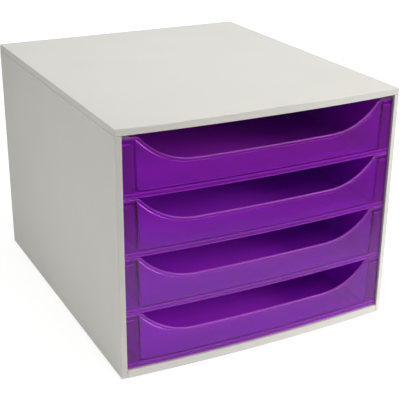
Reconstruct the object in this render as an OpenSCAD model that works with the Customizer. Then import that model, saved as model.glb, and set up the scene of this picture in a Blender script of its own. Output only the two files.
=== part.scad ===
// Desktop mini drawers: a closed case of moulded panels with four bowed, see-through drawers.
// Millimetres, +Z up, the front faces -Y. Origin: centre of the outline, on the surface it stands on.

/* [Case] */
// Width of the case
case_w = 284; // [260:1:320]
// Depth of the case along its sides, from front edge to rear edge
case_d = 326; // [300:1:360]
// Height of the case, without the pads under it
case_h = 234; // [222:1:260]
// How far the middle of the bowed front stands ahead of its side edges
bow = 5.6; // [3:0.1:9]
// Wall thickness of the case panels
wall = 3; // [2.2:0.1:3.6]
// Radius of the upright front edges
edge_r = 2; // [1:0.1:2.8]
// Radius along the top edges of the cover
cover_r = 1.4; // [0.6:0.1:1.8]

/* [Front frame] */
// Width of the frame at each side of the drawers
side_rim = 6; // [5:0.1:8]
// Height of the frame above the drawers, which is the skirt of the top cover
top_rim = 7; // [6:0.1:9]
// Height of the frame below the drawers
base_rim = 7.4; // [6.5:0.1:10]

/* [Panel joints] */
// Gap left between neighbouring panels of the case
seam = 0.2; // [0.1:0.05:0.4]
// Thickness of the back panel
back_t = 2.6; // [2:0.1:3]
// Thickness of the skirt round the top cover
skirt_t = 2.4; // [2:0.1:2.6]
// Thickness of the ribs and ledges moulded on the panels
rib_t = 2; // [1.4:0.1:2.4]
// Depth of the stiffening ribs on the side panels
rib_d = 2.6; // [1.5:0.1:3]

/* [Pads] */
// Diameter of each pad
pad_dia = 14; // [10:0.5:18]
// Thickness of each pad
pad_t = 2.4; // [1.6:0.1:3]
// How far the pads stand out below the case
pad_out = 0.8; // [0.4:0.1:1.4]
// Distance from the case's outer faces to the middle of a pad
pad_inset = 24; // [20:1:40]

/* [Drawer fronts] */
// How far the drawer fronts lie behind the case's front
front_recess = 2; // [1:0.1:4]
// Wall thickness of a drawer front
front_t = 2.2; // [1.6:0.1:2.8]
// Gap at each side of a drawer front
front_side_gap = 1; // [0.5:0.1:1.6]
// Gap between one drawer front and the next
front_gap = 1; // [0.5:0.1:1.5]
// Gap below the bottom drawer front
bottom_gap = 0.8; // [0.4:0.1:1.5]
// Gap above the top drawer front
top_gap = 3; // [1.5:0.1:4]
// Depth of the hand scoop below the top of a drawer front
scoop_depth = 25; // [18:0.5:30]
// Half width of the scoop's level part
scoop_flat = 69; // [50:1:72]
// Radius of the scoop's two curved ends
scoop_r = 66; // [50:1:70]
// Radius where the scoop meets the level top of the front
crest_r = 9; // [4:0.5:12]
// Height of the bead behind the edge of the scoop
bead_h = 3; // [2:0.1:5]
// How far that bead stands in from the wall
bead_t = 0.8; // [0.6:0.1:2]

/* [Drawer trays] */
// Wall thickness of a tray
tray_t = 2; // [1.4:0.1:2.6]
// How far the wall of a tray lies in from the side edge of its front
tray_inset = 10; // [9:0.5:12]
// Width of the flange that carries a tray on each side
flange_w = 9.4; // [7:0.1:9.6]
// Distance from the top of a drawer front down to the top of the flange
flange_drop = 3; // [2.6:0.1:5]
// Height of the underside of a tray above the bottom of its front
floor_lift = 4; // [2:0.5:6]
// Angle by which the tray walls lean outwards
draft = 1.2; // [0.4:0.1:2]
// Radius along the bottom edges of a tray
tray_bottom_r = 5; // [3:0.5:8]
// Radius of the upright corners at the back of a tray
tray_corner_r = 12; // [6:1:20]
// Width of the rim behind the back wall of a tray
rear_rim = 3; // [2:0.5:5]
// Space between the rim and the back panel
rear_gap = 5; // [3:0.5:10]

/* [Runners] */
// How far a drawer slides out until it meets its stops
travel = 235; // [120:5:250]
// Running gap below and beside the sliding flange
run_gap = 0.3; // [0.2:0.05:0.5]
// Gap above the flange, below the upper guide
guide_gap = 0.6; // [0.4:0.1:1]
// Gap between a runner and the wall of the tray
runner_gap = 2; // [1:0.1:3]
// Length of the stop block and of the lug that meets it
stop_l = 6; // [4:0.5:10]
// How far a lug stands out beside the flange
lug_w = 2.6; // [1.4:0.1:2.8]

/* [Hidden] */
$fn = 64;

// Colours
shell_colour = [0.80, 0.79, 0.76];
drawer_colour = [0.50, 0.15, 0.62, 0.75];
pad_colour = [0.25, 0.25, 0.26];

// Case: outline and heights
half_w = case_w / 2;
total_d = case_d + bow;
front_y = -total_d / 2;
back_y = total_d / 2;
side_front_y = front_y + bow;
case_z = pad_out;
case_top = case_z + case_h;
plate_z = case_top - wall;
cover_z = case_top - top_rim;
skin_top = cover_z - seam;
base_top = case_z + base_rim;
base_plate_z = base_top - wall;
skin_x = half_w - wall;
rim_x = half_w - side_rim;

// Bow of the front: an arc through the middle and both side edges
bow_r = round(5 * (half_w * half_w + bow * bow) / bow) / 10;
bow_y = front_y + bow_r;
bow_fn = 720;
bow_reach = case_d + 60;
bow_sweep = 2 * asin(half_w / (bow_r - bow_reach)) + 2;

// Cuts run past the surface by slack; straight lines are let into the arc they meet by lap
slack = 1;
lap = 0.01;

// Back panel: stands inside the cover's skirt
back_out_y = back_y - skirt_t - seam;
back_in_y = back_out_y - back_t;

// Cover: tongues of the side panels stand inside its skirt
tongue_x = half_w - skirt_t - seam;
tongue_t = 2.6;
tongue_lap = 4;

// Base: rests on a ledge of each side panel
base_ledge_w = 8;
base_skirt_x = skin_x - base_ledge_w - seam;
base_rib_count = 3;
base_rib_drop = 0.6;
cover_rib_count = 3;
cover_rib_h = 2;

// Pads: each in a ring under the base
pad_x = half_w - pad_inset;
pad_y = [side_front_y + pad_inset, back_y - pad_inset];
pad_ring_t = 1.8;
pad_clear = 0.15;

// Drawer fronts: four share the height of the opening
drawer_count = 4;
front_low = base_top + bottom_gap;
pitch = (cover_z - top_gap + front_gap - front_low) / drawer_count;
front_h = pitch - front_gap;
front_x = rim_x - front_side_gap;
scoop_z = front_h - scoop_depth;
scoop_mid_z = scoop_z + scoop_r;
crest_z = front_h - crest_r;
crest_x = scoop_flat + sqrt(pow(scoop_r + crest_r, 2) - pow(scoop_mid_z - crest_z, 2));
crest_share = scoop_r / (scoop_r + crest_r);

// Trays: heights from the bottom of the drawer front, and outlines
flange_top = front_h - flange_drop;
flange_z = flange_top - tray_t;
tray_x = front_x - tray_inset;
flange_x = tray_x + flange_w;
lean_room = 0.05;
rim_y = back_in_y - rear_gap;
tray_y = rim_y - rear_rim;
front_in_y = front_y + front_recess + front_t;
wing_in_y = bow_y - sqrt(pow(bow_r - front_recess - front_t, 2) - pow(front_x, 2));

// Runners: a ledge below the flange and a guide above it
runner_x = tray_x + runner_gap;
runner_z = flange_z - run_gap;
guide_z = flange_top + guide_gap;
runner_front_y = wing_in_y + run_gap;
runner_back_y = back_in_y - seam;
lug_x = flange_x + lug_w;
lug_front_y = rim_y - stop_l;
stop_back_y = lug_front_y - travel - run_gap;
stop_x = flange_x + run_gap;
rib_count = 5;
rib_margin = 30;
rib_step = (case_d - 2 * rib_margin) / (rib_count - 1);

// ---- Shared forms ----

// Plan of everything behind the bowed front, set back by an amount
module bowed_plan(set_back, half, rear) {
    intersection() {
        translate([0, bow_y]) circle(bow_r - set_back, $fn = bow_fn);
        translate([-half, front_y - slack]) square([2 * half, rear - front_y + slack]);
    }
}

// The same plan with its two front corners round
module round_bowed_plan(set_back, half, rear, r) {
    big = bow_r - set_back;
    mid_x = half - r;
    mid_y = bow_y - sqrt(pow(big - r, 2) - mid_x * mid_x);
    touch = big / (big - r);
    difference() {
        bowed_plan(set_back, half, rear);
        for (side = [-1, 1])
            difference() {
                polygon([
                    [side * mid_x * touch, bow_y - (bow_y - mid_y) * touch],
                    [side * mid_x * touch, front_y - 2 * slack],
                    [side * (half + slack), front_y - 2 * slack],
                    [side * (half + slack), mid_y],
                    [side * mid_x, mid_y]
                ]);
                translate([side * mid_x, mid_y]) circle(r + lap);
            }
    }
}

// Plan of a bowed wall between two depths behind the front
module bowed_wall(near, far, half) {
    intersection() {
        difference() {
            translate([0, bow_y]) circle(bow_r - near, $fn = bow_fn);
            translate([0, bow_y]) circle(bow_r - far, $fn = bow_fn);
        }
        translate([-half, front_y - slack]) square([2 * half, 2 * bow + far + slack]);
    }
}

// Solid behind the bowed front between two heights, its upper front edge round
module bowed_block(low, high, top_r) {
    translate([0, bow_y, 0])
        rotate([0, 0, -90 - bow_sweep / 2])
            rotate_extrude(angle = bow_sweep, $fn = bow_fn)
                difference() {
                    translate([bow_r - bow_reach, low]) square([bow_reach, high - low]);
                    translate([bow_r - top_r, high - top_r])
                        difference() {
                            square(top_r + slack);
                            circle(top_r);
                        }
                }
}

// Extrudes an outline drawn in X and Z along Y, from one Y to another
module along_y(from_y, to_y) {
    translate([0, to_y, 0])
        rotate([90, 0, 0])
            linear_extrude(to_y - from_y) children();
}

// Extrudes an outline drawn in Y and Z along X, from one X to another
module along_x(from_x, to_x) {
    translate([from_x, 0, 0])
        rotate([90, 0, 90])
            linear_extrude(to_x - from_x) children();
}

// Box given by its lowest and its highest corner
module box(low, high) {
    translate(low) cube(high - low);
}

// Rectangle with round corners, from one corner to the other
module round_rect(low, high, r) {
    translate([low.x + r, low.y]) square([high.x - low.x - 2 * r, high.y - low.y]);
    translate([low.x, low.y + r]) square([high.x - low.x, high.y - low.y - 2 * r]);
    for (x = [low.x + r, high.x - r], y = [low.y + r, high.y - r])
        translate([x, y]) circle(r);
}

// ---- Case ----

// Front view of the cover, with its two top corners round
module front_section() {
    translate([-half_w, cover_z]) square([case_w, top_rim - cover_r]);
    translate([cover_r - half_w, cover_z]) square([case_w - 2 * cover_r, top_rim]);
    for (side = [-1, 1])
        translate([side * (half_w - cover_r), case_top - cover_r]) circle(cover_r);
}

// Side view of the cover, with its top corner at the back round
module rear_section() {
    translate([front_y - slack, cover_z]) square([total_d + slack, top_rim - cover_r]);
    translate([front_y - slack, cover_z]) square([total_d + slack - cover_r, top_rim]);
    translate([back_y - cover_r, case_top - cover_r]) circle(cover_r);
}

// Top cover: a plate with a skirt all round and ribs below, its front edge bowed
module top_cover() {
    color(shell_colour)
        union() {
            difference() {
                intersection() {
                    bowed_block(cover_z, case_top, cover_r);
                    along_y(front_y - slack, back_y) front_section();
                    along_x(-half_w, half_w) rear_section();
                    translate([0, 0, cover_z])
                        linear_extrude(top_rim) round_bowed_plan(0, half_w, back_y, edge_r);
                }
                translate([0, 0, cover_z - slack])
                    linear_extrude(top_rim - wall + slack)
                        bowed_plan(wall, half_w - skirt_t, back_y - skirt_t);
            }
            for (k = [1 : cover_rib_count])
                cover_rib(front_y + k * total_d / (cover_rib_count + 1));
        }
}

// One rib across the underside of the cover
module cover_rib(y) {
    reach = skin_x - rib_d - seam;
    box([-reach, y - rib_t / 2, plate_z - cover_rib_h], [reach, y + rib_t / 2, plate_z + slack]);
}

// Side panel for the +X side: skin with a front and a rear return, tongue, runners and ribs
module side_panel() {
    intersection() {
        translate([0, 0, case_z])
            linear_extrude(skin_top - case_z) round_bowed_plan(0, half_w, back_y, edge_r);
        union() {
            box([skin_x, front_y, case_z], [half_w, back_y, skin_top]);
            box([rim_x, front_y, case_z], [half_w, side_front_y + wall, skin_top]);
            box([rim_x, back_out_y + seam, case_z], [half_w, back_y, skin_top]);
        }
    }
    box([tongue_x - tongue_t, side_front_y + wall, cover_z - tongue_lap], [tongue_x, back_in_y, plate_z]);
    side_ledges();
    side_ribs();
}

// Ledge under the base, and for each drawer a runner, a guide and a stop block
module side_ledges() {
    box([skin_x - base_ledge_w, side_front_y + 2 * wall, base_plate_z - rib_t],
        [skin_x + slack, back_in_y - seam, base_plate_z]);
    for (k = [0 : drawer_count - 1])
        translate([0, 0, front_low + k * pitch]) {
            for (z = [runner_z - rib_t, guide_z])
                box([runner_x, runner_front_y, z], [skin_x + slack, runner_back_y, z + rib_t]);
            box([stop_x, stop_back_y - stop_l, runner_z - slack],
                [skin_x + slack, stop_back_y, guide_z + slack]);
        }
}

// Upright ribs on the inner face, left out where the lugs of the trays pass
module side_ribs() {
    for (n = [0 : rib_count - 1], k = [0 : drawer_count]) {
        y = side_front_y + rib_margin + n * rib_step;
        box([skin_x - rib_d, y - rib_t / 2, rib_low(k)], [skin_x + slack, y + rib_t / 2, rib_high(k)]);
    }
}

// Ends of the stretch of rib below drawer k's runner
function rib_low(k) = k == 0 ? base_top + seam : front_low + (k - 1) * pitch + guide_z + rib_t - slack;
function rib_high(k) = k == drawer_count ? skin_top : front_low + k * pitch + runner_z - slack;

module left_side_panel() {
    color(shell_colour) mirror([1, 0, 0]) side_panel();
}

module right_side_panel() {
    color(shell_colour) side_panel();
}

// Base: a plate with the lower bar of the front frame, ribs below it and a ring for each pad
module base_panel() {
    rear = back_in_y - seam;
    color(shell_colour)
        difference() {
            union() {
                translate([0, 0, case_z])
                    linear_extrude(base_rim) bowed_wall(0, wall, rim_x - seam);
                translate([0, 0, base_plate_z])
                    linear_extrude(wall) bowed_plan(wall - slack, rim_x - seam, rear);
                box([seam - skin_x, side_front_y + 2 * wall, base_plate_z], [skin_x - seam, rear, base_top]);
                intersection() {
                    translate([0, 0, case_z + base_rib_drop])
                        linear_extrude(base_rim - wall) bowed_plan(wall - slack, base_skirt_x, rear);
                    base_ribs(rear);
                }
                for (side = [-1, 1], y = pad_y)
                    translate([side * pad_x, y, case_z])
                        cylinder(r = pad_dia / 2 + pad_ring_t, h = base_plate_z - case_z + slack);
            }
            for (side = [-1, 1], y = pad_y)
                translate([side * pad_x, y, -slack])
                    cylinder(r = pad_dia / 2 + pad_clear, h = pad_t + slack);
        }
}

// Ribs under the base: one along each side, some between them, and cross ribs
module base_ribs(rear) {
    for (k = [0 : base_rib_count + 1]) {
        x = (2 * k / (base_rib_count + 1) - 1) * (base_skirt_x - rib_t / 2);
        box([x - rib_t / 2, front_y, case_z], [x + rib_t / 2, rear, base_top]);
    }
    for (k = [1 : base_rib_count + 1]) {
        y = front_y + wall + k * (rear - front_y - wall) / (base_rib_count + 1) - rib_t;
        box([-base_skirt_x, y, case_z], [base_skirt_x, y + rib_t, base_top]);
    }
}

// Back panel: a plain plate between the side panels, from the ground up into the cover's skirt
module back_panel() {
    half = skin_x - seam;
    color(shell_colour)
        box([-half, back_in_y, case_z + base_rib_drop], [half, back_out_y, plate_z - seam]);
}

// ---- Pads ----

module foot_pad(x, y) {
    color(pad_colour)
        translate([x, y, 0]) cylinder(r = pad_dia / 2, h = pad_t);
}

module foot_pad_front_left() { foot_pad(-pad_x, pad_y[0]); }
module foot_pad_front_right() { foot_pad(pad_x, pad_y[0]); }
module foot_pad_rear_left() { foot_pad(-pad_x, pad_y[1]); }
module foot_pad_rear_right() { foot_pad(pad_x, pad_y[1]); }

// ---- Drawers ----

// Area above the edge of the hand scoop, its edge let down by an amount
module scoop_area(grow) {
    high = 2 * front_h;
    difference() {
        union() {
            translate([-scoop_flat, scoop_z - grow]) square([2 * scoop_flat, high]);
            intersection() {
                for (side = [-1, 1])
                    translate([side * scoop_flat, scoop_mid_z]) circle(scoop_r + grow);
                translate([-front_x, 0]) square([2 * front_x, front_h + slack]);
            }
        }
        translate([-front_x, front_h + slack]) square([2 * front_x, high]);
    }
}

// What the round crest takes off between the scoop and the level top
module crest_cut() {
    touch_x = scoop_flat + (crest_x - scoop_flat) * crest_share;
    touch_z = scoop_mid_z - (scoop_mid_z - crest_z) * crest_share;
    for (side = [-1, 1])
        difference() {
            polygon([
                [side * crest_x, front_h + slack], [side * crest_x, crest_z],
                [side * touch_x, touch_z], [side * touch_x, front_h + slack]
            ]);
            translate([side * crest_x, crest_z]) circle(crest_r + lap);
        }
}

// Outline of a drawer front as seen from the front
module front_outline() {
    difference() {
        translate([-front_x, 0]) square([2 * front_x, front_h]);
        scoop_area(0);
        crest_cut();
    }
}

// Section of a tray across the drawer: a trough with leaning walls and round bottom edges
module trough(top_x, low, high, r) {
    mid_z = low + r;
    wall_x = top_x - (high - mid_z) * tan(draft);
    mid_x = round(100 * (wall_x - r / cos(draft) + lap)) / 100;
    translate([-mid_x, low]) square([2 * mid_x, r + slack]);
    polygon([[-wall_x, mid_z], [wall_x, mid_z], [top_x, high], [-top_x, high]]);
    for (side = [-1, 1])
        translate([side * mid_x, mid_z]) circle(r);
}

// Plan of a tray behind the drawer front, with round rear corners
module tray_plan(set_back, half, rear, r) {
    intersection() {
        round_rect([-half, front_y - 2 * r], [half, rear], r);
        translate([0, bow_y]) circle(bow_r - set_back, $fn = bow_fn);
    }
}

// One drawer: bowed front with a scoop, tray, carrying flanges, rear rim and stop lugs
module drawer(k) {
    deep = front_recess + front_t;
    color(drawer_colour)
        translate([0, 0, front_low + k * pitch]) {
            difference() {
                union() {
                    intersection() {
                        linear_extrude(front_h) bowed_wall(front_recess, deep, front_x);
                        along_y(front_y, front_in_y + 2 * bow) front_outline();
                    }
                    intersection() {
                        along_y(front_y, back_y) trough(tray_x, floor_lift, flange_top, tray_bottom_r);
                        linear_extrude(front_h)
                            tray_plan(deep - slack, tray_x + lean_room, tray_y, tray_corner_r);
                    }
                    translate([0, 0, flange_z]) linear_extrude(tray_t) flange_plan(deep);
                }
                tray_hollow(deep);
                along_y(front_y - slack, front_in_y + bow + slack) scoop_area(0);
            }
            intersection() {
                linear_extrude(front_h) bowed_wall(deep - slack, deep + bead_t, front_x);
                along_y(front_y, front_in_y + 2 * bow) bead_outline();
            }
        }
}

// Bead along the edge of the scoop, on the inner side of the front
module bead_outline() {
    intersection() {
        front_outline();
        scoop_area(bead_h);
        translate([-tray_x, 0]) square([2 * tray_x, front_h]);
    }
}

// Plan of the flanges at both sides, the rim at the back and the lugs
module flange_plan(deep) {
    intersection() {
        union() {
            round_rect([-flange_x, front_y - tray_corner_r], [flange_x, rim_y], tray_t);
            translate([-lug_x, lug_front_y]) square([2 * lug_x, stop_l - tray_t]);
        }
        translate([0, bow_y]) circle(bow_r - deep + slack, $fn = bow_fn);
    }
}

// Hollow of a tray, open at the top
module tray_hollow(deep) {
    inner_x = tray_x - tray_t;
    intersection() {
        along_y(front_y, back_y)
            trough(inner_x, floor_lift + tray_t, front_h + slack, tray_bottom_r - tray_t);
        linear_extrude(front_h + 2 * slack)
            tray_plan(deep, inner_x + lean_room, tray_y - tray_t, tray_corner_r - tray_t);
    }
}

module drawer_1() { drawer(0); }
module drawer_2() { drawer(1); }
module drawer_3() { drawer(2); }
module drawer_4() { drawer(3); }

top_cover();
left_side_panel();
right_side_panel();
base_panel();
back_panel();
foot_pad_front_left();
foot_pad_front_right();
foot_pad_rear_left();
foot_pad_rear_right();
drawer_1();
drawer_2();
drawer_3();
drawer_4();
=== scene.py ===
import math

import bmesh
import bpy
import numpy as np
from mathutils import Matrix, Vector


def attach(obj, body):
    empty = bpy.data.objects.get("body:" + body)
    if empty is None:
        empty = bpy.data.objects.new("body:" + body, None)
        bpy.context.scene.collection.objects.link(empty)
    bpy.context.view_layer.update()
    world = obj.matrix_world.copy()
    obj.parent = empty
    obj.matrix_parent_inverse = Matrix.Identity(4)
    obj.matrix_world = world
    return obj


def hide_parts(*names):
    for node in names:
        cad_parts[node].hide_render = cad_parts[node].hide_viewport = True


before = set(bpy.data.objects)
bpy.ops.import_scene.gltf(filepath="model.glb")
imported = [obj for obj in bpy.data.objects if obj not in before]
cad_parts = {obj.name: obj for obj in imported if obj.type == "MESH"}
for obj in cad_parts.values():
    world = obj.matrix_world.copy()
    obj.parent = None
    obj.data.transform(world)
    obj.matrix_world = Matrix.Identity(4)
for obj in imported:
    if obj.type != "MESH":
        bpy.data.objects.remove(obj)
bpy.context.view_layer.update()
MM = 0.001

# ---- View -----------------------------------------------------------------------------------
# The module is seen from above and from its left front corner, by a lens of about 84 mm
# from a little under a metre. Angles in degrees, lengths in millimetres.

VIEW_TURN, VIEW_RISE, VIEW_ROLL = -27.255, 22.618, 0.484
VIEW_AIM = (0.0, 2.8, 117.8)
VIEW_ACROSS, VIEW_UP, VIEW_AWAY = 16.702, -28.492, 975.692
LENS_PIXELS, FRAME_PIXELS, SENSOR = 930.424, 400, 36.0


def view_axes(turn, rise, roll):
    """Right, up and back of the camera: back points from the aim to the lens at the turn and
    rise, right is level, up follows from both, and the roll turns right and up about back."""
    turn, rise, roll = np.radians([turn, rise, roll])
    back = np.array([np.sin(turn) * np.cos(rise), -np.cos(turn) * np.cos(rise), np.sin(rise)])
    right = np.cross([0, 0, 1], back)
    right /= np.linalg.norm(right)
    up = np.cross(back, right)
    return (right * np.cos(roll) + up * np.sin(roll),
            up * np.cos(roll) - right * np.sin(roll), back)


view_right, view_up, view_back = view_axes(VIEW_TURN, VIEW_RISE, VIEW_ROLL)
lens_place = (np.array(VIEW_AIM) + view_right * VIEW_ACROSS + view_up * VIEW_UP
              + view_back * VIEW_AWAY) * MM
camera_data = bpy.data.cameras.new("view")
camera_data.sensor_width = SENSOR
camera_data.lens = LENS_PIXELS / FRAME_PIXELS * SENSOR
camera_data.clip_start, camera_data.clip_end = 0.05, 20
camera = bpy.data.objects.new("view", camera_data)
camera_turn = Matrix(np.array([view_right, view_up, view_back]).T.tolist()).to_4x4()
camera.matrix_world = Matrix.Translation(Vector(lens_place.tolist())) @ camera_turn
bpy.context.scene.collection.objects.link(camera)
bpy.context.scene.camera = camera
bpy.context.scene.view_settings.view_transform = "Standard"

# ---- Ground and light ------------------------------------------------------------------------
# A plain pale floor, white all round, and five soft lamps: a low one far to the right front,
# whose light falls across the trays and leaves their right ends dark, one above, a smaller one
# in front, one at the left side and one behind.

WHITE = "#ffffff"
ROOM_LIGHT = 0.05                            # strength of the room's light on dull faces
FLOOR_HALF = 6.0                             # m
FLOOR_TONE, SHADE_TONE = "#f4f4f3", "#343434"
SHADE_WAY = (0.35, -0.94, 0.0)               # way from the light to the dark part of the floor
SHADE_FROM, SHADE_TO = 0.25, 0.52            # m along that way, where the dark starts, is full
PAPER_TONE, GLOW_NEAR = "#9a9a9a", 0.84      # the floor as seen: paper plus a white glow
GLOW_FROM, GLOW_TO = 0.28, 0.75              # m from the middle, where the glow rises to 1


def linear(hex_colour):
    """sRGB hex to linear light: value / 12.92 up to 0.04045, ((value + 0.055) / 1.055)^2.4
    above it."""
    value = np.array([int(hex_colour[i:i + 2], 16) / 255 for i in (1, 3, 5)])
    value = np.where(value <= 0.04045, value / 12.92, ((value + 0.055) / 1.055) ** 2.4)
    return (*value.tolist(), 1.0)


def add_node(tree, kind, settings=(), **links):
    """Adds a node; settings are (attribute or input, value) pairs, links are input=output socket.
    An underscore in a link's name stands for a space, and at_2 picks the input in place 2."""
    made = tree.nodes.new(kind)
    for name, value in settings:
        if isinstance(name, str) and hasattr(made, name) and name not in made.inputs:
            setattr(made, name, value)
        else:
            made.inputs[name].default_value = value
    for name, source in links.items():
        place = int(name[3:]) if name.startswith("at_") else name.replace("_", " ")
        tree.links.new(source, made.inputs[place])
    return made


def new_material(name):
    """An empty node material and its output."""
    material = bpy.data.materials.new(name)
    material.use_nodes = True
    material.node_tree.nodes.clear()
    output = material.node_tree.nodes.new("ShaderNodeOutputMaterial")
    return material, material.node_tree, output


def seen_directly(tree, *kinds):
    """1 for rays of the kinds named, such as Is Camera Ray, that no dull face has scattered,
    and 0 for all others."""
    path = add_node(tree, "ShaderNodeLightPath")
    seen = path.outputs[kinds[0]]
    for kind in kinds[1:]:
        seen = add_node(tree, "ShaderNodeMath", [("operation", "MAXIMUM")],
                        at_0=seen, at_1=path.outputs[kind]).outputs[0]
    straight = add_node(tree, "ShaderNodeMath", [("operation", "LESS_THAN"), (1, 0.5)],
                        at_0=path.outputs["Diffuse Depth"])
    return add_node(tree, "ShaderNodeMath", [("operation", "MULTIPLY")],
                    at_0=seen, at_1=straight.outputs[0]).outputs[0]


room = bpy.data.worlds.new("room")
room.use_nodes = True
room.node_tree.nodes.clear()
room_light = add_node(room.node_tree, "ShaderNodeBackground",
                      [("Color", linear(WHITE)), ("Strength", ROOM_LIGHT)])
room_seen = add_node(room.node_tree, "ShaderNodeBackground",
                     [("Color", linear(WHITE)), ("Strength", 1.0)])
room_mix = add_node(room.node_tree, "ShaderNodeMixShader",
                    at_0=seen_directly(room.node_tree, "Is Camera Ray", "Is Glossy Ray",
                                       "Is Transmission Ray"),
                    at_1=room_light.outputs[0], at_2=room_seen.outputs[0])
room_out = room.node_tree.nodes.new("ShaderNodeOutputWorld")
room.node_tree.links.new(room_mix.outputs[0], room_out.inputs[0])
bpy.context.scene.world = room

floor_mesh = bpy.data.meshes.new("floor")
floor_mesh.from_pydata([(-FLOOR_HALF, -FLOOR_HALF, 0), (FLOOR_HALF, -FLOOR_HALF, 0),
                        (FLOOR_HALF, FLOOR_HALF, 0), (-FLOOR_HALF, FLOOR_HALF, 0)],
                       [], [(0, 1, 2, 3)])
floor = bpy.data.objects.new("floor", floor_mesh)
bpy.context.scene.collection.objects.link(floor)
# Seen directly or through clear plastic the floor is white paper with a faint shadow. To mirror
# and scattered rays it is pale by the case, and painted shade makes it dark further off to the
# right front, standing in for a darker room.
floor_material, tree, output = new_material("pale_paper_floor")
place = add_node(tree, "ShaderNodeTexCoord")
along = add_node(tree, "ShaderNodeVectorMath", [("operation", "DOT_PRODUCT"), (1, SHADE_WAY)],
                 at_0=place.outputs["Object"])
shade = add_node(tree, "ShaderNodeMapRange",
                 [("interpolation_type", "SMOOTHSTEP"), ("From Min", SHADE_FROM),
                  ("From Max", SHADE_TO)], Value=along.outputs["Value"])
tone = add_node(tree, "ShaderNodeMix", [("data_type", "RGBA"), (6, linear(FLOOR_TONE)),
                                        (7, linear(SHADE_TONE))], at_0=shade.outputs["Result"])
floor_face = add_node(tree, "ShaderNodeBsdfDiffuse", Color=tone.outputs[2])
far = add_node(tree, "ShaderNodeVectorMath", [("operation", "LENGTH")],
               at_0=place.outputs["Object"])
glow = add_node(tree, "ShaderNodeMapRange",
                [("interpolation_type", "SMOOTHSTEP"), ("From Min", GLOW_FROM),
                 ("From Max", GLOW_TO), ("To Min", GLOW_NEAR), ("To Max", 1.0)],
                Value=far.outputs["Value"])
floor_glow = add_node(tree, "ShaderNodeEmission", [("Color", linear(WHITE))],
                      Strength=glow.outputs["Result"])
floor_paper = add_node(tree, "ShaderNodeBsdfDiffuse", [("Color", linear(PAPER_TONE))])
floor_white = add_node(tree, "ShaderNodeAddShader", at_0=floor_glow.outputs[0],
                       at_1=floor_paper.outputs[0])
floor_mix = add_node(tree, "ShaderNodeMixShader",
                     at_0=seen_directly(tree, "Is Camera Ray", "Is Transmission Ray"),
                     at_1=floor_face.outputs[0], at_2=floor_white.outputs[0])
tree.links.new(floor_mix.outputs[0], output.inputs["Surface"])
floor_mesh.materials.append(floor_material)


def soft_lamp(name, place, aim, wide, high, bright, mirrored=True):
    """An area lamp at place, turned to face aim, in metres; its power is pi * area * brightness
    of its face. Where mirrored is false, it leaves no bright patch on glossy faces."""
    data = bpy.data.lights.new(name, "AREA")
    data.shape, data.size, data.size_y = "RECTANGLE", wide, high
    data.energy = math.pi * wide * high * bright
    lamp = bpy.data.objects.new(name, data)
    lamp.location = place
    lamp.rotation_euler = (Vector(aim) - Vector(place)).to_track_quat("-Z", "Y").to_euler()
    lamp.visible_glossy = mirrored
    bpy.context.scene.collection.objects.link(lamp)


soft_lamp("right_front_lamp", (1.45, -1.12, 0.53), (0, -0.1, 0.12), 1.1, 0.9, 10.6, False)
soft_lamp("front_lamp", (0.1, -0.95, 0.95), (0, 0, 0.12), 0.6, 0.5, 1.9)
soft_lamp("top_lamp", (0.1, 0, 0.9), (0.1, 0, 0), 0.9, 0.9, 1.75)
soft_lamp("left_lamp", (-0.8, -0.09, 0.17), (0, -0.05, 0.09), 0.36, 0.4, 4.0)
soft_lamp("back_lamp", (0.3, 1.3, 0.6), (0, 0.1, 0.12), 0.8, 0.6, 1.8, False)

# ---- Case ------------------------------------------------------------------------------------
# Five injection-moulded panels of pale warm-grey polystyrene, pressed together: top cover, two
# sides, base and back. Their faces come from a finely eroded mould, so they are nearly matt, and
# the mould leaves each outer edge a little round.

SHELL_GREY, CLOUD_GREY = "#dfdcd5", "#dad7d1"
CLOUD = 60.0         # mm between the clouds in the grey
GRAIN = 1.1          # mm between the dimples; the real ones are finer and wouldn't show
GRAIN_DEPTH = 0.2    # mm
SHELL_EDGE = 0.4     # mm, radius of the edges
SHARP = 35           # degrees, from which an edge is sharp and gets its round
FRONT_Y, BOW_RADIUS = -165.8, 1803.2         # mm, foremost point and radius of the bow
BOW_CENTRE = FRONT_Y + BOW_RADIUS
BOW_DEPTH, BOW_HALF, BOW_STEP = 14, 138, 6   # mm, depth and half width of the bowed zone, cuts


def moulded_grey():
    """Matt moulded polystyrene. To the eye: an even warm grey with the faint clouding of a large
    moulding and the soft dull sheen that the fine dimples of an eroded mould leave."""
    material, tree, output = new_material("moulded_grey_polystyrene")
    place = add_node(tree, "ShaderNodeTexCoord")
    dimples = add_node(tree, "ShaderNodeTexNoise",
                       [("Scale", 1 / (GRAIN * MM)), ("Detail", 2.0), ("Roughness", 0.5)],
                       Vector=place.outputs["Object"])
    bump = add_node(tree, "ShaderNodeBump", [("Strength", 0.08), ("Distance", GRAIN_DEPTH * MM)],
                    Height=dimples.outputs["Fac"])
    clouds = add_node(tree, "ShaderNodeTexNoise",
                      [("Scale", 1 / (CLOUD * MM)), ("Detail", 2.0), ("Roughness", 0.4)],
                      Vector=place.outputs["Object"])
    tone = add_node(tree, "ShaderNodeMix", [("data_type", "RGBA"), (6, linear(CLOUD_GREY)),
                                            (7, linear(SHELL_GREY))],
                    at_0=clouds.outputs["Fac"])
    face = add_node(tree, "ShaderNodeBsdfPrincipled", [("Roughness", 0.5), ("IOR", 1.5)],
                    Base_Color=tone.outputs[2], Normal=bump.outputs[0])
    tree.links.new(face.outputs[0], output.inputs["Surface"])
    return material


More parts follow.
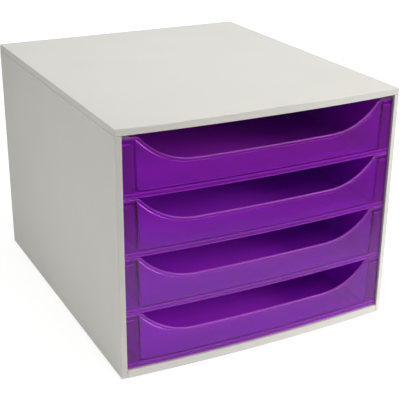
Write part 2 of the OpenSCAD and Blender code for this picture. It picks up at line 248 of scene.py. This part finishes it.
def bend(surface, way):
    """With way 1, straightens the bowed front zone, so that the depth behind the bow, which is
    the bow's radius less the distance from its upright axis, becomes the plain distance behind
    y = FRONT_Y. With way -1, bends it back: y = centre - sqrt((radius - depth)^2 - x^2)."""
    across, along, _ = np.array([corner.co for corner in surface.verts]).T / MM
    if way > 0:
        deep = BOW_RADIUS - np.hypot(across, along - BOW_CENTRE)
        moved = FRONT_Y + deep
    else:
        deep = along - FRONT_Y
        moved = BOW_CENTRE - np.sqrt((BOW_RADIUS - deep) ** 2 - across ** 2)
    for corner, bowed, place in zip(surface.verts, deep < BOW_DEPTH, moved * MM):
        if bowed:
            corner.co.y = place


def cut(surface, deep, place, way):
    """Cuts the faces that lie wholly less than deep behind the straightened bow by the plane
    through place that faces way, in mm. A point within half a millimetre of the plane counts as
    on it, so that no sliver is left."""
    faces = [face for face in surface.faces
             if max(corner.co.y for corner in face.verts) < (FRONT_Y + deep) * MM]
    parts = dict.fromkeys(faces)
    parts.update(dict.fromkeys(line for face in faces for line in face.edges))
    parts.update(dict.fromkeys(corner for face in faces for corner in face.verts))
    bmesh.ops.bisect_plane(surface, geom=list(parts), dist=0.5 * MM, plane_no=way,
                           plane_co=[value * MM for value in place])


def moulding(node_name, edge, materials, body, finish=None):
    """The solid of a CAD node as it leaves the mould: the same surface, its doubles merged, its
    facets of one plane joined, its lines shorter than the radius edge taken in, its bowed front
    cut at every BOW_STEP across and set on its true arc, and every SHARP line given a round of
    that radius, in two steps. While the front is straight, finish may share out the materials."""
    surface = bmesh.new()
    surface.from_mesh(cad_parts[node_name].data)
    bmesh.ops.remove_doubles(surface, verts=surface.verts, dist=0.001 * MM)
    bend(surface, 1)
    for _ in range(2):
        bmesh.ops.dissolve_limit(surface, angle_limit=math.radians(0.2),
                                 verts=surface.verts, edges=surface.edges)
        bmesh.ops.dissolve_degenerate(surface, edges=surface.edges, dist=edge * MM)
    for across in np.arange(-BOW_HALF, BOW_HALF + 1, BOW_STEP):
        cut(surface, BOW_DEPTH, (across, 0, 0), (1, 0, 0))
    if finish:
        finish(surface)
    bend(surface, -1)
    mesh = bpy.data.meshes.new(node_name + "_moulding")
    surface.to_mesh(mesh)
    surface.free()
    for material in materials:
        mesh.materials.append(material)
    mesh.shade_smooth()
    mesh.set_sharp_from_angle(angle=math.radians(SHARP))
    piece = bpy.data.objects.new(node_name + "_moulding", mesh)
    bpy.context.scene.collection.objects.link(piece)
    rounds = piece.modifiers.new("edge_rounds", "BEVEL")
    rounds.width, rounds.segments = edge * MM, 2
    rounds.limit_method, rounds.angle_limit = "ANGLE", math.radians(SHARP)
    rounds.use_clamp_overlap = False
    piece.modifiers.new("face_weights", "WEIGHTED_NORMAL").keep_sharp = True
    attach(piece, body)
    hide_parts(node_name)


shell_grey = moulded_grey()
for name in ("top_cover", "left_side_panel", "right_side_panel", "base_panel", "back_panel"):
    moulding(name, SHELL_EDGE, [shell_grey], "case")

# ---- Pads ------------------------------------------------------------------------------------
# Four round pads of dark soft rubber, cut from sheet and glued into rings under the base. They
# stand out just enough to carry the case and to keep it from sliding.

PAD_GREY, DUST_GREY = "#343436", "#48484a"
PEBBLE, PEBBLE_DEPTH = 0.6, 0.1      # mm, between the pebbles of the rubber's skin, and deep


def pad_rubber():
    """Soft sheet rubber. To the eye: dark and dull, with a pebbled skin and a little pale dust
    in its hollows."""
    material, tree, output = new_material("dark_soft_rubber")
    place = add_node(tree, "ShaderNodeTexCoord")
    pebbles = add_node(tree, "ShaderNodeTexNoise",
                       [("Scale", 1 / (PEBBLE * MM)), ("Detail", 3.0), ("Roughness", 0.6)],
                       Vector=place.outputs["Object"])
    tone = add_node(tree, "ShaderNodeMix", [("data_type", "RGBA"), (6, linear(DUST_GREY)),
                                            (7, linear(PAD_GREY))],
                    at_0=pebbles.outputs["Fac"])
    bump = add_node(tree, "ShaderNodeBump", [("Strength", 0.3), ("Distance", PEBBLE_DEPTH * MM)],
                    Height=pebbles.outputs["Fac"])
    face = add_node(tree, "ShaderNodeBsdfPrincipled", [("Roughness", 0.85), ("IOR", 1.5)],
                    Base_Color=tone.outputs[2], Normal=bump.outputs[0])
    tree.links.new(face.outputs[0], output.inputs["Surface"])
    return material


rubber = pad_rubber()
for name in ("foot_pad_front_left", "foot_pad_front_right",
             "foot_pad_rear_left", "foot_pad_rear_right"):
    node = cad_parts[name]
    node.data.materials.clear()
    node.data.materials.append(rubber)

# ---- Drawers ---------------------------------------------------------------------------------
# Each drawer is one injection moulding of clear polystyrene dyed violet: bowed front with a hand
# scoop, tray, flanges and lugs. The mould is polished where it makes the front, which shines and
# can be seen through, and finely frosted where it makes the tray. The rim and two thin lines at
# the foot of each front carry painted highlights, and the band between those lines painted shade.

DRAWER_EDGE = 0.3                # mm, radius of the edges
FACE_DEPTH = 2.1                 # mm from the case's bow to just behind a drawer front's face
FRONT_DEPTH = 5.2                # mm from the case's bow to just behind the front and its bead
# The two foot lines are painted highlights and the band between them is painted shade.
PAINTED_FOOT_LINES = (1.2, 3.6, 4.8)     # mm, tops of the lower line, the band and the upper line
SLACK = 0.1                      # mm, by which a corner may stand above one of these
# The upward rim faces picked out by this get a painted highlight.
RIM_RISE = 0.15                  # least upward part of the normal of a face of the rim
STREAK, FLOW = 25.0, 0.25        # mm between streaks of dye up the wall; 1 / FLOW times it along
RIPPLE, RIPPLE_DEPTH = 14.0, 0.3     # mm, waves that polishing leaves in the mould
FROST, FROST_DEPTH = 0.8, 0.2    # mm, grains of the frosted mould, coarser than real to show


def dyed_polystyrene(name, violet, deep_violet, roughness, clear, ripple, depth):
    """Clear polystyrene dyed violet, which tints what passes it. To the eye: one deep violet with
    faint streaks where the dye flowed to the sides, over the waves or grains of the mould. Clear
    is the share of the light that goes through; dye and frost scatter the rest."""
    material, tree, output = new_material(name)
    place = add_node(tree, "ShaderNodeTexCoord")
    flow = add_node(tree, "ShaderNodeMapping", [("Scale", (FLOW, FLOW, 1.0))],
                    Vector=place.outputs["Object"])
    streaks = add_node(tree, "ShaderNodeTexNoise",
                       [("Scale", 1 / (STREAK * MM)), ("Detail", 2.0), ("Roughness", 0.45)],
                       Vector=flow.outputs[0])
    tone = add_node(tree, "ShaderNodeMix", [("data_type", "RGBA"), (6, linear(deep_violet)),
                                            (7, linear(violet))],
                    at_0=streaks.outputs["Fac"])
    waves = add_node(tree, "ShaderNodeTexNoise",
                     [("Scale", 1 / (ripple * MM)), ("Detail", 1.0)],
                     Vector=place.outputs["Object"])
    bump = add_node(tree, "ShaderNodeBump", [("Strength", 0.1), ("Distance", depth * MM)],
                    Height=waves.outputs["Fac"])
    face = add_node(tree, "ShaderNodeBsdfPrincipled",
                    [("Roughness", roughness), ("IOR", 1.5), ("Transmission Weight", clear)],
                    Base_Color=tone.outputs[2], Normal=bump.outputs[0])
    tree.links.new(face.outputs[0], output.inputs["Surface"])
    return material


def share_finishes_and_painted_light(surface):
    """Gives each face of a drawer, while its front is straight, the number of its finish or
    painted light in the drawer's list: by the depth of its rearmost corner behind the case's bow,
    for the rim by its facing upwards, and on the front's face by the height of its highest
    corner. The rim's upward faces and the two foot lines get painted highlights, the band between
    the lines painted shade."""
    low = min(corner.co.z for corner in surface.verts) / MM
    for high in PAINTED_FOOT_LINES:
        cut(surface, FACE_DEPTH, (0, 0, low + high), (0, 0, 1))
    surface.normal_update()
    for face in surface.faces:
        back = max(corner.co.y for corner in face.verts) / MM - FRONT_Y
        high = max(corner.co.z for corner in face.verts) / MM - low - SLACK
        if back > FRONT_DEPTH:
            face.material_index = 1
        elif back > FACE_DEPTH:
            # Upward faces of the rim take the paler, less clear copy: a painted highlight.
            face.material_index = 4 if face.normal.z > RIM_RISE else 0
        # At the foot of the front: painted highlight lines above and below a band of painted
        # shade.
        elif high < PAINTED_FOOT_LINES[2]:
            face.material_index = 3 if PAINTED_FOOT_LINES[0] < high < PAINTED_FOOT_LINES[1] else 2


# Polished, it shows what lies behind; frosted, it glows evenly. The satin copies are painted
# highlights: less clear, and paler on the rim, so that the foot lines and the rim stand out
# bright.
# The darker band between the foot lines is painted shade.
DRAWER_FINISHES_AND_PAINTED_LIGHT = [
    dyed_polystyrene("dyed_clear_polystyrene", "#e252ff", "#dd4cfd",
                     0.04, 0.91, RIPPLE, RIPPLE_DEPTH),
    dyed_polystyrene("dyed_frosted_polystyrene", "#da48ff", "#d642fb",
                     0.3, 0.15, FROST, FROST_DEPTH),
    dyed_polystyrene("dyed_polystyrene_painted_highlight_lines", "#e048ff", "#ce36fc",
                     0.08, 0.64, RIPPLE, RIPPLE_DEPTH),
    dyed_polystyrene("dyed_polystyrene_painted_shade_band", "#d040fc", "#c63af8",
                     0.06, 0.78, RIPPLE, RIPPLE_DEPTH),
    dyed_polystyrene("dyed_polystyrene_rim_painted_highlight", "#f48eff", "#ee84ff",
                     0.12, 0.5, RIPPLE, RIPPLE_DEPTH)]
for name in ("drawer_1", "drawer_2", "drawer_3", "drawer_4"):
    moulding(name, DRAWER_EDGE, DRAWER_FINISHES_AND_PAINTED_LIGHT, name, share_finishes_and_painted_light)
